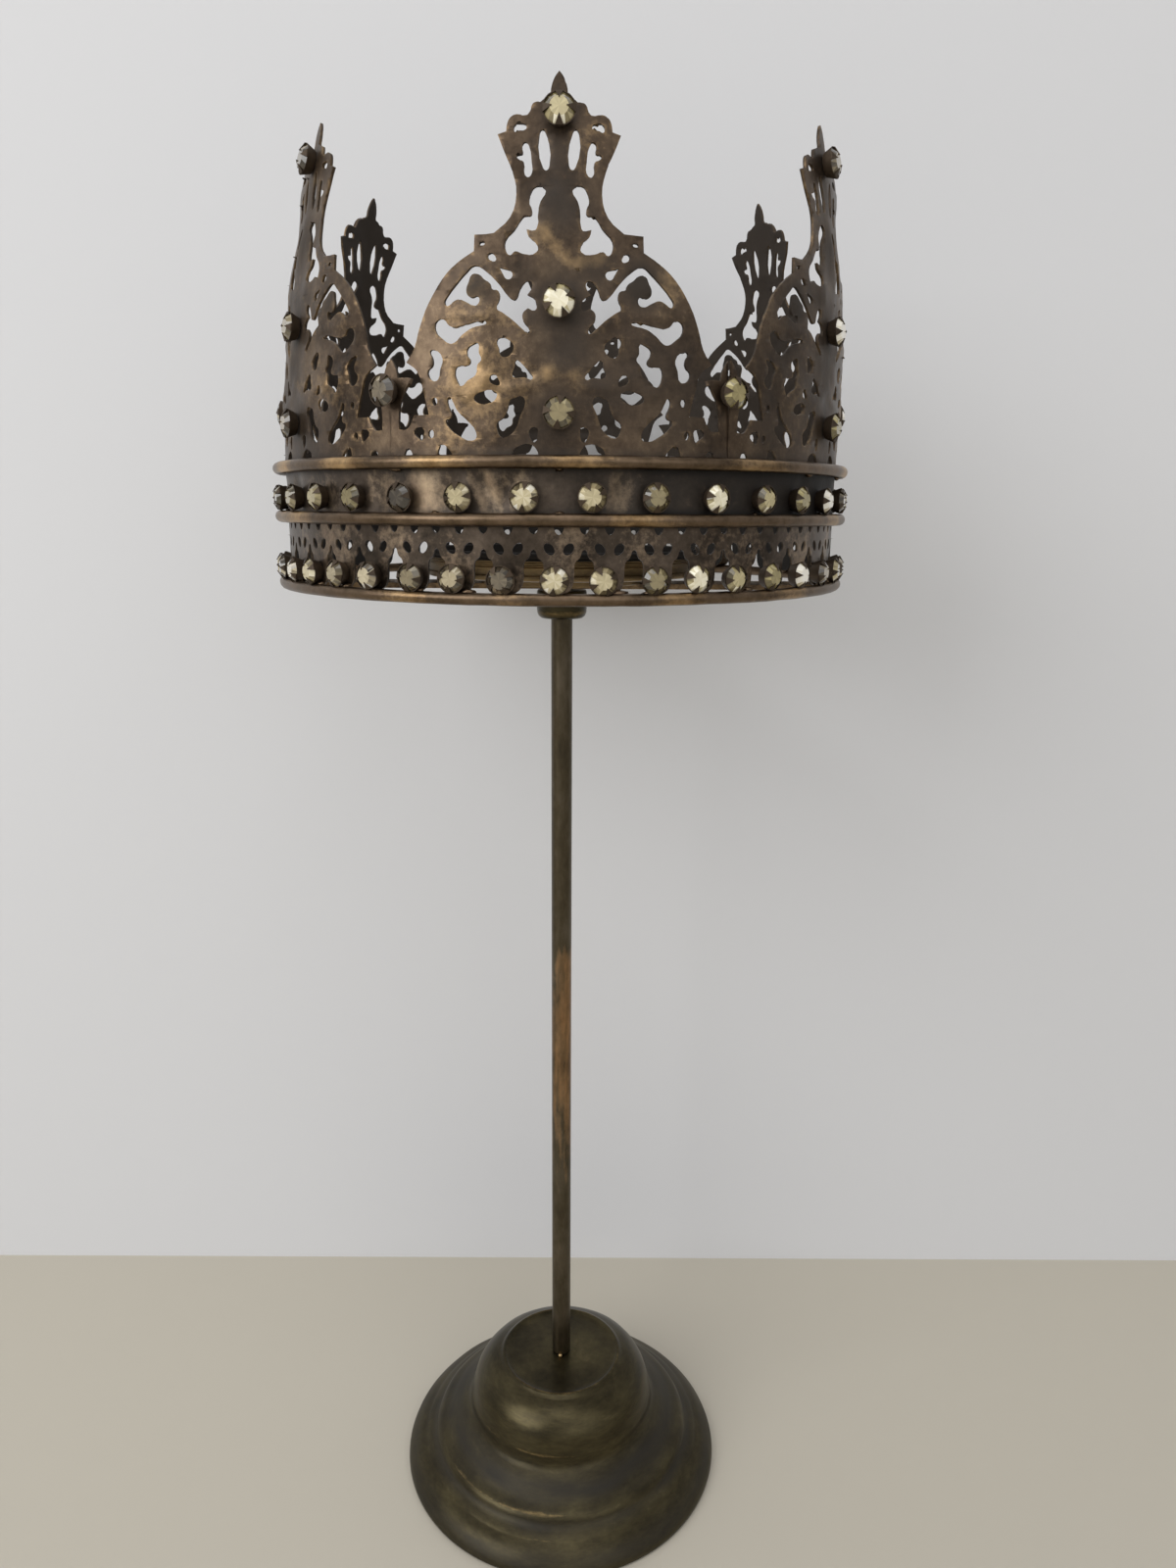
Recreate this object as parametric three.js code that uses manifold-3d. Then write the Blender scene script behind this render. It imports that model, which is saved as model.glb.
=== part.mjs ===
// A statue crown on its table stand, in millimetres, +Z up.
// The origin is on the table, under the middle of the foot. The crown's front faces -Y.
// A spun foot and a rod carry a cross strap, and the strap carries the crown: three wire
// rings, two bands between them and a pierced gallery of six lobes and six fleurons.

import * as THREE from "three";
import { mergeVertices } from "three/addons/utils/BufferGeometryUtils.js";
import Module from "manifold-3d";

// Play between pieces that are soldered or clamped together
const clearance = 0.3;

// Sides of every round piece, so that rings and bands keep their clearance all round
const ringSides = 24;

// The spun sheet foot, as three tiers with a creased step between them
const foot = {
  rimRadius: 68,
  rimHeight: 12.5,
  rimWidth: 3.2,
  stepRadius: 55.5,
  stepHeight: 13.5,
  shoulderRadius: 41,
  shoulderHeight: 20.5,
  creaseWidth: 1,
  beadRadius: 25,
  beadSlope: 1.5,
  beadHeight: 1.5,
  wall: 1.2,
  rimFullness: 1.4,
  stepFullness: 1.15,
  shoulderFullness: 1.5,
  tierSides: 3,
  sides: 24,
};

// The rod between the foot and the crown, with the collar that its top end carries
const rod = { diameter: 8, length: 331.5, sides: 12 };
const collar = { diameter: 18.5, height: 10.5, bottomRound: 2.5, sides: 16 };

// The flat strap across the crown's bottom ring, and the turned disc that clamps it
const strap = { width: 20, thickness: 2 };
const disc = { radius: 49, height: 9, grooveDepth: 1, neckRadius: 30, neckHeight: 3, sides: 24 };

// The crown's sheet: both bands and the foot of the gallery stand on this cylinder
const sheet = { outerRadius: 95.9, thickness: 1 };

// The three wire rings, soldered round the outside of the sheet
const bottomWire = { diameter: 3.8 };
const middleWire = { diameter: 4 };
const topWire = { diameter: 4 };
const wireSides = 8;
const laceBandHeight = 21.4;
const plainBandHeight = 15.5;

// Stones in round settings that widen to their faces: one row on each band, larger ones on the gallery
const rowStone = { diameter: 8.6, backDiameter: 6.2, depth: 4.8, sides: 6 };
const galleryStone = { diameter: 9.2, backDiameter: 7, depth: 4.4, sides: 6 };
const plainRow = { count: 34, turn: -4.5 };

// The lappets of the lace band, each with a stone at its round end
const lappet = { count: 42, width: 9.6, endWidth: 3.8, archDepth: 7.1, archWidth: 1.7, archRise: 3.2 };

// The gallery
const lobeCount = 6;
const gallery = { lobeHeight: 98.9, lean: 10.5, tiers: 3 };

// The gallery's pattern is drawn flat over half a sector, from a lobe's middle line at 0 to the
// fleuron's middle line at patternWidth, and from the top wire at 0 to the lobe's tip at patternHeight.
// Every size from here to the piercings is in the pattern's own units, which the lobe's height sets.
const patternWidth = 50.8;
const patternHeight = 99.7;
const patternWall = 12.7;
const fleuron = { height: 28.3, stemWidth: 6.2, hornReach: 7.6, leafWidth: 5.2, notchDepth: 3.7 };
const tipHalfWidth = 0.35;
const lobeFootHalfWidth = 37.6;
const lobeEdge = [
  [40.5, 23.4], [45.1, 26.8], [42, 31], [39.5, 39], [33.6, 48.1], [24.2, 54.4], [24.2, 58.8],
  [18.5, 59], [13, 64.2], [12.3, 70.2], [17.9, 84], [14.5, 87.6], [8.6, 88.8], [6.5, 91.4],
  [2.7, 92.4], [2, 96],
];
const piercings = {
  headInnerSlot: [[5.7, 84.2], [3.9, 84.2], [2.7, 75.2], [4.6, 75]],
  headOuterSlot: [[10.7, 81], [8.8, 81], [7.8, 73.6], [10, 73.4]],
  neckWindow: [
    [7.1, 70.3], [3.8, 69.8], [6, 64], [6.1, 59.6], [9, 59.6], [6.1, 54.2], [14.1, 53.4],
    [14.9, 57.2], [7.7, 63.8],
  ],
  shoulderWindow: [
    [23.7, 50.9], [12.6, 42], [8.8, 46.4], [6.2, 40.6], [9.9, 38.7], [8.1, 33.4], [17.3, 39.8],
    [16.8, 44], [22.5, 48.5], [26, 45.6], [22.6, 41.4], [28.7, 42.5], [32.9, 41.3],
  ],
  hookedSlit: [[34.6, 37.4], [29.8, 35.6], [20.3, 36.3], [30.7, 31.2], [35.7, 34.4]],
  roundHole: [[17.2, 32], [12.9, 31], [13, 28.4], [16.4, 27.8]],
  cornerHole: [[25.8, 29.6], [22.6, 31.1], [21.8, 26.8], [23.2, 23], [27.5, 20], [29, 24.8]],
  sideHole: [[37.2, 29.6], [33.3, 27.4], [34.9, 21.7], [38, 23.8]],
  longLeaf: [[31.7, 17], [23.5, 8.8], [24.2, 5.8], [30, 7.9], [32.4, 11]],
  lowLeaf: [[9.9, 17], [11.8, 9], [15.3, 6.5], [17.3, 9.6]],
};

// Heights of the gallery's stones, as shares of the lobe's or the fleuron's own height
const lobeStoneShares = [0.128, 0.411, 0.887];
const fleuronStoneShare = 0.68;

// Heights, from the table up
const footHeight = foot.rimHeight + foot.stepHeight + foot.shoulderHeight + foot.beadHeight;
const rodTop = footHeight + clearance + rod.length;
const strapBottom = rodTop + clearance;
const strapTop = strapBottom + strap.thickness;
const discBottom = strapTop + clearance;
const bottomWireZ = strapTop + clearance + bottomWire.diameter / 2;
const middleWireZ = bottomWireZ + laceBandHeight;
const topWireZ = middleWireZ + plainBandHeight;

// Each row of stones stands just clear of the wire below it. Halfway out, a setting is past the
// thickest part of the wire, so its mean width counts.
const stoneLift = (wire) => wire.diameter / 2 + clearance + (rowStone.diameter + rowStone.backDiameter) / 4;

// Radii of the wires' middle lines, outside the sheet
const sheetInnerRadius = sheet.outerRadius - sheet.thickness;
const wireRadius = (wire) => sheet.outerRadius + clearance + wire.diameter / 2;

// How far a row's settings reach into the sheet, which is a little nearer in the middle of its flats
const settingRoot = (sheet.thickness + sheet.outerRadius * (1 - Math.cos(Math.PI / ringSides))) / 2;

// The gallery's outer face leaves the top wire upright and curves in with its height, in straight
// tiers. This gives a tier's slope and its radius at a height; below the wire the sheet is upright.
function faceAt(height) {
  const share = Math.max(0, height) / gallery.lobeHeight;
  const tier = Math.min(gallery.tiers - 1, Math.floor(share * gallery.tiers));
  const foot = tier / gallery.tiers;
  const slope = gallery.lean * (2 * foot + 1 / gallery.tiers);
  const radius = sheet.outerRadius - gallery.lean * foot ** 2 - slope * (share - foot);
  return { radius, slope: slope / gallery.lobeHeight };
}
const faceRadius = (height) => faceAt(height).radius;
const patternToHeight = (y) => (y / patternHeight) * gallery.lobeHeight;

const degrees = THREE.MathUtils.degToRad;
const wasm = await Module();
wasm.setup();

const brass = new THREE.MeshStandardMaterial({ color: "#8a6f47", roughness: 0.42, metalness: 1 });
const darkBrass = new THREE.MeshStandardMaterial({ color: "#3d3729", roughness: 0.38, metalness: 1 });
const copperBrown = new THREE.MeshStandardMaterial({ color: "#4a3428", roughness: 0.4, metalness: 1 });
const paleGlass = new THREE.MeshStandardMaterial({ color: "#d8d2a0", roughness: 0.12, metalness: 0 });

// A closed geometry as a solid that can be joined and cut
function toSolid(geometry) {
  const bare = geometry.index ? geometry.toNonIndexed() : geometry.clone();
  bare.deleteAttribute("normal");
  bare.deleteAttribute("uv");
  const merged = mergeVertices(bare, 1e-5);
  const vertProperties = Float32Array.from(merged.attributes.position.array);
  const triVerts = Uint32Array.from(merged.index.array);
  return new wasm.Manifold(new wasm.Mesh({ numProp: 3, vertProperties, triVerts }));
}

function toGeometry(solid) {
  const mesh = solid.getMesh();
  const geometry = new THREE.BufferGeometry();
  geometry.setAttribute("position", new THREE.BufferAttribute(Float32Array.from(mesh.vertProperties), 3));
  geometry.setIndex(Array.from(mesh.triVerts));
  return geometry;
}

// A ring or a solid of revolution about Z, from a profile of [radius, height] pairs.
// The profile runs anticlockwise: up on the outside, in over the top and down on the inside.
function turned(profile, sides, closed = false) {
  const points = profile.map(([radius, height]) => new THREE.Vector2(radius, height));
  if (closed) points.push(points[0].clone());
  return new THREE.LatheGeometry(points, sides).rotateX(Math.PI / 2);
}

function wireRing(wire) {
  const profile = [];
  const radius = wire.diameter / 2;
  for (let i = 0; i < wireSides; i++) {
    const turn = (2 * Math.PI * i) / wireSides;
    profile.push([wireRadius(wire) + radius * Math.cos(turn), radius * Math.sin(turn)]);
  }
  return turned(profile, ringSides, true);
}

// A tier's outside: a bulge from its outer foot up and in to its inner top, without that last point.
// A fullness of 1 is a straight slope and 2 is a quarter of an ellipse.
function bulge(outerRadius, bottom, innerRadius, top, fullness) {
  const points = [];
  for (let i = 0; i < foot.tierSides; i++) {
    const along = Math.sin(((Math.PI / 2) * i) / foot.tierSides);
    const out = (1 - along ** fullness) ** (1 / fullness);
    points.push([innerRadius + (outerRadius - innerRadius) * out, bottom + (top - bottom) * along]);
  }
  return points;
}

function footGeometry() {
  const stepBottom = foot.rimHeight;
  const shoulderBottom = stepBottom + foot.stepHeight;
  const shoulderTop = shoulderBottom + foot.shoulderHeight;
  const beadOuter = foot.beadRadius + foot.beadSlope;
  const stepOuter = foot.stepRadius - foot.creaseWidth;
  const shoulderOuter = foot.shoulderRadius - foot.creaseWidth;
  const tiers = [
    ...bulge(foot.rimRadius, 0, foot.stepRadius, stepBottom, foot.rimFullness),
    ...bulge(stepOuter, stepBottom, foot.shoulderRadius, shoulderBottom, foot.stepFullness),
    ...bulge(shoulderOuter, shoulderBottom, beadOuter, shoulderTop, foot.shoulderFullness),
  ];
  const outside = [
    ...tiers,
    [beadOuter, shoulderTop],
    [foot.beadRadius, footHeight],
    [foot.beadRadius - foot.beadSlope, shoulderTop],
    [rod.diameter, footHeight - foot.beadHeight / 2],
    [0, footHeight],
  ];
  // Inside, the sheet follows the tiers, one wall in and one wall down
  const inside = [
    [0, footHeight - foot.beadHeight / 2 - foot.wall],
    [foot.beadRadius - foot.wall, shoulderTop - foot.beadHeight / 2 - foot.wall],
    ...tiers.slice(1).toReversed().map(([radius, height]) => [radius - foot.wall, height - foot.wall]),
    [foot.rimRadius - foot.rimWidth, 0],
  ];
  return turned([...outside, ...inside, outside[0]], foot.sides);
}

function collarGeometry() {
  const outer = collar.diameter / 2;
  const bore = rod.diameter / 2 + clearance;
  const round = collar.bottomRound;
  const halfway = round * (1 - Math.SQRT1_2);
  const profile = [
    [bore, -collar.height],
    [outer - round, -collar.height],
    [outer - halfway, -collar.height + halfway],
    [outer, -collar.height + round],
    [outer, 0],
    [bore, 0],
  ];
  return turned(profile, collar.sides, true);
}

// The disc on its neck, with a shallow groove round its side
function discGeometry() {
  const neck = disc.neckHeight;
  const top = neck + disc.height;
  const waist = disc.radius - disc.grooveDepth;
  const profile = [
    [0, 0],
    [disc.neckRadius, 0],
    [disc.neckRadius, neck],
    [disc.radius, neck],
    [disc.radius, neck + disc.height * 0.2],
    [waist, neck + disc.height * 0.35],
    [waist, neck + disc.height * 0.55],
    [disc.radius, neck + disc.height * 0.65],
    [disc.radius, top],
    [0, top],
  ];
  return turned(profile, disc.sides);
}

// A round setting whose back is at radius 0 and whose face is `depth` further out along +Y
function settingGeometry(stone, back = 0) {
  const profile = [
    [0, back],
    [stone.backDiameter / 2, back],
    [stone.diameter / 2, stone.depth],
    [0, stone.depth],
  ];
  return new THREE.LatheGeometry(profile.map(([x, y]) => new THREE.Vector2(x, y)), stone.sides);
}

// Straight cutters along -Y, from well inside the sheet to well outside it.
// Their [sideways, up] outlines are drawn flat on the sheet. It leans in with its height,
// so a point's place across depends on both.
const cutterStart = 0.4 * sheet.outerRadius;
function cutters(outlines, toAngle, toHeight) {
  const shapes = outlines.map((points) => new THREE.Shape(points.map(([x, y]) => {
    const height = toHeight(y);
    return new THREE.Vector2(faceRadius(height) * Math.sin(toAngle(x)), height);
  })));
  const options = { depth: sheet.outerRadius, steps: 1, bevelEnabled: false };
  const prisms = new THREE.ExtrudeGeometry(shapes, options).rotateX(Math.PI / 2);
  return prisms.translate(0, -cutterStart, 0);
}

const mirrored = (points, middle) => points.map(([x, y]) => [2 * middle - x, y]).reverse();

// The open space between two lobes, above the wall and round the fleuron.
// The fleuron has a thin stem, a horn on each side and a pointed leaf at its top.
function gapOutline() {
  const notchBottom = patternWall - fleuron.notchDepth;
  const stem = patternWidth - fleuron.stemWidth / 2;
  const horn = patternWidth - fleuron.hornReach;
  const up = (share) => fleuron.height * share;
  const half = [
    [tipHalfWidth, patternHeight * 1.1],
    [tipHalfWidth, patternHeight],
    ...lobeEdge.toReversed(),
    [lobeFootHalfWidth, patternWall],
    [horn, patternWall],
    [(horn + stem) / 2, notchBottom],
    [stem, notchBottom],
    [stem, up(0.55)],
    [horn, up(0.8)],
    [patternWidth - fleuron.leafWidth / 2, up(0.81)],
    [patternWidth, up(1)],
  ];
  return [...half, ...mirrored(half.slice(0, -1), patternWidth)];
}

function galleryGeometry() {
  const outside = [[sheet.outerRadius, clearance / 2]];
  for (let i = 1; i <= gallery.tiers; i++) {
    const height = (gallery.lobeHeight * i) / gallery.tiers;
    outside.push([faceRadius(height), height]);
  }
  const inside = outside.toReversed().map(([radius, height]) => [radius - sheet.thickness, height]);
  const holes = Object.values(piercings);
  const lobeHoles = [...holes, ...holes.map((points) => mirrored(points, 0))];
  const halfSector = Math.PI / lobeCount;
  const fromLobe = (x) => (x / patternWidth) * halfSector;
  const fromFleuron = (x) => fromLobe(x - patternWidth);
  let solid = toSolid(turned([...outside, ...inside], ringSides, true));
  for (let i = 0; i < lobeCount; i++) {
    const turn = 2 * halfSector * i;
    const pierce = cutters(lobeHoles, fromLobe, patternToHeight).rotateZ(turn);
    const part = cutters([gapOutline()], fromFleuron, patternToHeight).rotateZ(turn + halfSector);
    solid = solid.subtract(toSolid(pierce)).subtract(toSolid(part));
  }
  return toGeometry(solid);
}

// A band of sheet between two wires, with a row of settings that stand out from it
function bandSolid(bottom, top, stoneZ, count, turn) {
  const profile = [
    [sheet.outerRadius, bottom], [sheet.outerRadius, top],
    [sheetInnerRadius, top], [sheetInnerRadius, bottom],
  ];
  let settings = null;
  for (let i = 0; i < count; i++) {
    const setting = settingGeometry(rowStone, -settingRoot).rotateX(Math.PI);
    setting.translate(0, -sheet.outerRadius, stoneZ);
    const solid = toSolid(setting.rotateZ(degrees(turn + (360 * i) / count)));
    settings = settings ? settings.add(solid) : solid;
  }
  return { band: toSolid(turned(profile, ringSides, true)), settings };
}

function plainBandGeometry() {
  const gap = clearance / 2;
  const { count, turn } = plainRow;
  const { band, settings } = bandSolid(gap, plainBandHeight - gap, stoneLift(middleWire), count, turn);
  return toGeometry(band.add(settings));
}

// The space between two lappets: a narrow arch over a wider window, down to the bottom wire
function lappetGap() {
  const pitch = (2 * Math.PI * sheet.outerRadius) / lappet.count;
  const side = (pitch - lappet.width) / 2;
  const top = laceBandHeight - lappet.archDepth;
  const right = [
    [(pitch - lappet.endWidth) / 2, -clearance],
    [side, stoneLift(bottomWire)],
    [side, top - lappet.archRise],
    [lappet.archWidth / 2, top],
  ];
  return [...right, ...mirrored(right, 0)];
}

function laceBandGeometry() {
  const top = laceBandHeight - clearance / 2;
  const { band, settings } = bandSolid(0, top, stoneLift(bottomWire), lappet.count, 0);
  const toAngle = (x) => x / sheet.outerRadius;
  let pierced = band;
  for (let i = 0; i < lappet.count; i++) {
    const cutter = cutters([lappetGap()], toAngle, (y) => y);
    pierced = pierced.subtract(toSolid(cutter.rotateZ((2 * Math.PI * (i + 0.5)) / lappet.count)));
  }
  return toGeometry(pierced.add(settings));
}

// The assembly
const crown = new THREE.Group();

function place(parent, name, geometry, material, z = 0) {
  const mesh = new THREE.Mesh(geometry, material);
  mesh.name = name;
  mesh.position.z = z;
  parent.add(mesh);
  return mesh;
}

const rodGeometry = new THREE.CylinderGeometry(rod.diameter / 2, rod.diameter / 2, rod.length, rod.sides);
const strapLength = 2 * wireRadius(bottomWire);
place(crown, "foot", footGeometry(), darkBrass);
place(crown, "rod", rodGeometry.rotateX(Math.PI / 2), copperBrown, rodTop - rod.length / 2);
place(crown, "collar", collarGeometry(), darkBrass, rodTop);
place(crown, "cross_strap", new THREE.BoxGeometry(strapLength, strap.width, strap.thickness), brass,
  strapBottom + strap.thickness / 2);
place(crown, "clamp_disc", discGeometry(), brass, discBottom);
place(crown, "bottom_wire", wireRing(bottomWire), brass, bottomWireZ);
place(crown, "middle_wire", wireRing(middleWire), brass, middleWireZ);
place(crown, "top_wire", wireRing(topWire), brass, topWireZ);
place(crown, "lace_band", laceBandGeometry(), brass, bottomWireZ);
place(crown, "plain_band", plainBandGeometry(), brass, middleWireZ);
place(crown, "gallery", galleryGeometry(), brass, topWireZ);

// A stone on the gallery, on the face of the sheet at this height and square to it
function placeGalleryStone(name, turn, height) {
  const face = faceAt(height);
  const sector = new THREE.Group();
  sector.rotation.z = degrees(turn);
  const stone = place(sector, name, settingGeometry(galleryStone), paleGlass, topWireZ + height);
  stone.position.y = -face.radius - clearance;
  stone.rotation.x = Math.PI - Math.atan(face.slope);
  crown.add(sector);
}

const stoneNames = ["low", "middle", "top"];
for (let i = 0; i < lobeCount; i++) {
  const turn = (360 * i) / lobeCount;
  lobeStoneShares.forEach((share, j) => {
    placeGalleryStone(`stone_lobe_${i + 1}_${stoneNames[j]}`, turn, share * gallery.lobeHeight);
  });
  const fleuronHeight = patternToHeight(fleuronStoneShare * fleuron.height);
  placeGalleryStone(`stone_fleuron_${i + 1}`, turn + 180 / lobeCount, fleuronHeight);
}

export default crown;
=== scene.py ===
import bpy
import math
from mathutils import Matrix, Vector, noise


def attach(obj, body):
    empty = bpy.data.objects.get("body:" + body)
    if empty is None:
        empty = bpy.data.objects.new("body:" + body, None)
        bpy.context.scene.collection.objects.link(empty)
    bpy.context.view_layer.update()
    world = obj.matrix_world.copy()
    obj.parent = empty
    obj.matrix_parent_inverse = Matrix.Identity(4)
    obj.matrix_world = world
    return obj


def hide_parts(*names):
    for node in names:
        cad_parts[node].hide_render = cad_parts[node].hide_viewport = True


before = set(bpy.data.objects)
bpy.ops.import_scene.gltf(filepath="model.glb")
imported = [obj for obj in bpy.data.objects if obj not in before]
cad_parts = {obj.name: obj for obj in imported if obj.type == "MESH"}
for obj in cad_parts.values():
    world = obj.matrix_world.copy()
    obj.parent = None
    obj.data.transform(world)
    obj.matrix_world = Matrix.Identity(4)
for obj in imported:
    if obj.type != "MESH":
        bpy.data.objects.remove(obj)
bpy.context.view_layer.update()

mm = 0.001

# In mm, as the frame has them: the wires' heights above the table, and the crown's sheet
bottomWireZ, middleWireZ, topWireZ = 384.3, 405.7, 421.2
sheetRadius, sheetLean, lobeHeight = 95.9, 10.5, 98.9


# Small helpers

def deselectAll():
    if bpy.context.object and bpy.context.object.mode != "OBJECT":
        leaveEdit()
    bpy.ops.object.select_all(action="DESELECT")


def pick(*objects):
    deselectAll()
    for obj in objects:
        obj.select_set(True)
    bpy.context.view_layer.objects.active = objects[0]
    return objects[0]


def joinAll(objects, name):
    joined = pick(*objects)
    if len(objects) > 1:
        bpy.ops.object.join()
    joined.name = joined.data.name = name
    return joined


def placedCopy(obj, matrix):
    copy = obj.copy()
    copy.data = obj.data.copy()
    copy.data.transform(matrix)
    bpy.context.collection.objects.link(copy)
    return copy


def leaveEdit():
    bpy.ops.object.mode_set(mode="OBJECT")


def editAll():
    bpy.ops.object.mode_set(mode="EDIT")
    bpy.ops.mesh.select_all(action="SELECT")


def newLayer(obj, name, domain="POINT"):
    return obj.data.attributes.new(name, "FLOAT", domain)


def addModifier(obj, kind, **settings):
    pick(obj)
    modifier = obj.modifiers.new(kind.title(), kind)
    for key, value in settings.items():
        setattr(modifier, key, value)
    bpy.ops.object.modifier_apply(modifier=modifier.name)


def smooth(obj, angle=35):
    pick(obj)
    bpy.ops.object.shade_smooth_by_angle(angle=math.radians(angle))


def weld(obj, distance=0.00002, outward=False):
    pick(obj)
    editAll()
    bpy.ops.mesh.remove_doubles(threshold=distance)
    if outward:
        bpy.ops.mesh.normals_make_consistent(inside=False)
    leaveEdit()


# A turned shape about Z: a circle that is extruded and resized from one [radius, height] to the next
def turnedShape(name, profile, segments):
    deselectAll()
    tiny = 0.0001  # a pole is a ring too small to see, which the weld closes
    radius, height = max(profile[0][0], tiny), profile[0][1]
    bpy.ops.mesh.primitive_circle_add(vertices=segments, radius=radius * mm, location=(0, 0, height * mm))
    obj = bpy.context.object
    bpy.ops.object.transform_apply()
    editAll()
    for newRadius, newHeight in profile[1:]:
        rise = (newHeight - height) * mm
        bpy.ops.mesh.extrude_region_move(TRANSFORM_OT_translate={"value": (0, 0, rise)})
        scale = max(newRadius, tiny) / radius
        bpy.ops.transform.resize(value=(scale, scale, 1), center_override=(0, 0, newHeight * mm))
        radius, height = max(newRadius, tiny), newHeight
    leaveEdit()
    obj.name = obj.data.name = name
    return obj


# A flat sheet in mm from [x, y] outlines, the first one round the outside and the rest as holes.
# A point with a third value is a sharp corner, and the others are rounded through.
def flatSheet(name, outlines, resolution, gridStep, corners):
    curve = bpy.data.curves.new(name, "CURVE")
    curve.dimensions = "2D"
    curve.fill_mode = "BOTH"
    curve.resolution_u = resolution
    for points in outlines:
        spline = curve.splines.new("BEZIER")
        spline.bezier_points.add(len(points) - 1)
        for knot, point in zip(spline.bezier_points, points):
            knot.co = (point[0], point[1], 0)
            knot.handle_left_type = knot.handle_right_type = "VECTOR" if len(point) > 2 else "AUTO"
        spline.use_cyclic_u = True
    sheet = bpy.data.objects.new(name, curve)
    bpy.context.collection.objects.link(sheet)
    pick(sheet)
    bpy.ops.object.convert(target="MESH")
    sheet = bpy.context.object
    editAll()
    bpy.ops.mesh.remove_doubles(threshold=0.01)
    (left, low), (right, high) = corners
    for axis, start, end in ((0, left, right), (1, low, high)):
        normal = (1, 0, 0) if axis == 0 else (0, 1, 0)
        for i in range(1, int((end - start) / gridStep) + 1):
            place = start + i * gridStep
            if place < end - 0.3:
                bpy.ops.mesh.select_all(action="SELECT")
                bpy.ops.mesh.bisect(plane_co=(place * normal[0], place * normal[1], 0), plane_no=normal)
    bpy.ops.mesh.select_all(action="SELECT")
    bpy.ops.mesh.normals_make_consistent(inside=False)
    leaveEdit()
    if sheet.data.polygons[0].normal.z < 0:
        sheet.data.flip_normals()
    uses = {}
    for face in sheet.data.polygons:
        for key in face.edge_keys:
            uses[key] = uses.get(key, 0) + 1
    rims = {index for key, count in uses.items() if count == 1 for index in key}
    edge = newLayer(sheet, "edge")
    for index, vertex in enumerate(sheet.data.vertices):
        edge.data[index].value = 1 if index in rims and left + 0.1 < vertex.co.x < right - 0.1 else 0
    return sheet


def mirrored(points):
    return [(-point[0], *point[1:]) for point in reversed(points)]


def bump(distance, width):
    return math.exp(-(distance / width) ** 2)


def turned(degrees, axis="Z"):
    return Matrix.Rotation(math.radians(degrees), 4, axis)


# Takes a shape from the origin to its place on a ring
def outAt(degrees, radius, height):
    return turned(degrees) @ Matrix.Translation((0, -radius * mm, height * mm))


def noiseAt(x, y, z):
    return noise.noise(Vector((x, y, z)))


def clamp(value):
    return max(0, min(1, value))


# A point on a circle about Z, with the angle from the front and the lengths in mm
def onRing(angle, radius, height):
    return (radius * math.sin(angle) * mm, -radius * math.cos(angle) * mm, height * mm)


def distanceTo(x, y, line):
    best = 1e9
    for (ax, ay), (bx, by) in zip(line, line[1:]):
        lengthSquared = (bx - ax) ** 2 + (by - ay) ** 2
        share = clamp(((x - ax) * (bx - ax) + (y - ay) * (by - ay)) / lengthSquared)
        best = min(best, math.hypot(x - ax - share * (bx - ax), y - ay - share * (by - ay)))
    return best


# The inside of the sheet was never polished and lies in the crown's shade, so its faces are made fully dark:
# unpolished metal and painted shade
def markInside(obj):
    if "tarnishAndShade" not in obj.data.attributes:
        newLayer(obj, "tarnishAndShade")
    for vertex, value in zip(obj.data.vertices, obj.data.attributes["tarnishAndShade"].data):
        outward = Vector((vertex.co.x, vertex.co.y, 0)).normalized()
        if vertex.normal.dot(outward) < -0.3:
            value.value = 1


def paint(obj, name, rule):
    layer = newLayer(obj, name)
    for vertex, value in zip(obj.data.vertices, layer.data):
        value.value = rule(vertex.co)


# Materials

def hexColour(text):
    parts = [int(text[i:i + 2], 16) / 255 for i in (1, 3, 5)]
    return (*[v / 12.92 if v <= 0.04045 else ((v + 0.055) / 1.055) ** 2.4 for v in parts], 1)


def newMaterial(name):
    material = bpy.data.materials.new(name)
    material.use_nodes = True
    return material, material.node_tree.nodes["Principled BSDF"]


def addNode(material, kind, settings=None, values=None, links=None):
    node = material.node_tree.nodes.new(kind)
    for key, value in (settings or {}).items():
        setattr(node, key, value)
    for key, value in (values or {}).items():
        node.inputs[key].default_value = value
    for key, (source, output) in (links or {}).items():
        material.node_tree.links.new(source.outputs[output], node.inputs[key])
    return node


def rampNode(material, stops, source):
    node = addNode(material, "ShaderNodeValToRGB", links={"Fac": source})
    ramp = node.color_ramp
    while len(ramp.elements) > 1:
        ramp.elements.remove(ramp.elements[-1])
    ramp.elements[0].position, ramp.elements[0].color = stops[0][0], hexColour(stops[0][1])
    for place, colour in stops[1:]:
        ramp.elements.new(place).color = hexColour(colour)
    return node


# What the dark crust adds at full strength to the roughness and takes from the metal, for tarnish and painted
# shade alike
tarnishAndShadeRough, tarnishAndShadeMetal = 0.3, 0.6
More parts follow.
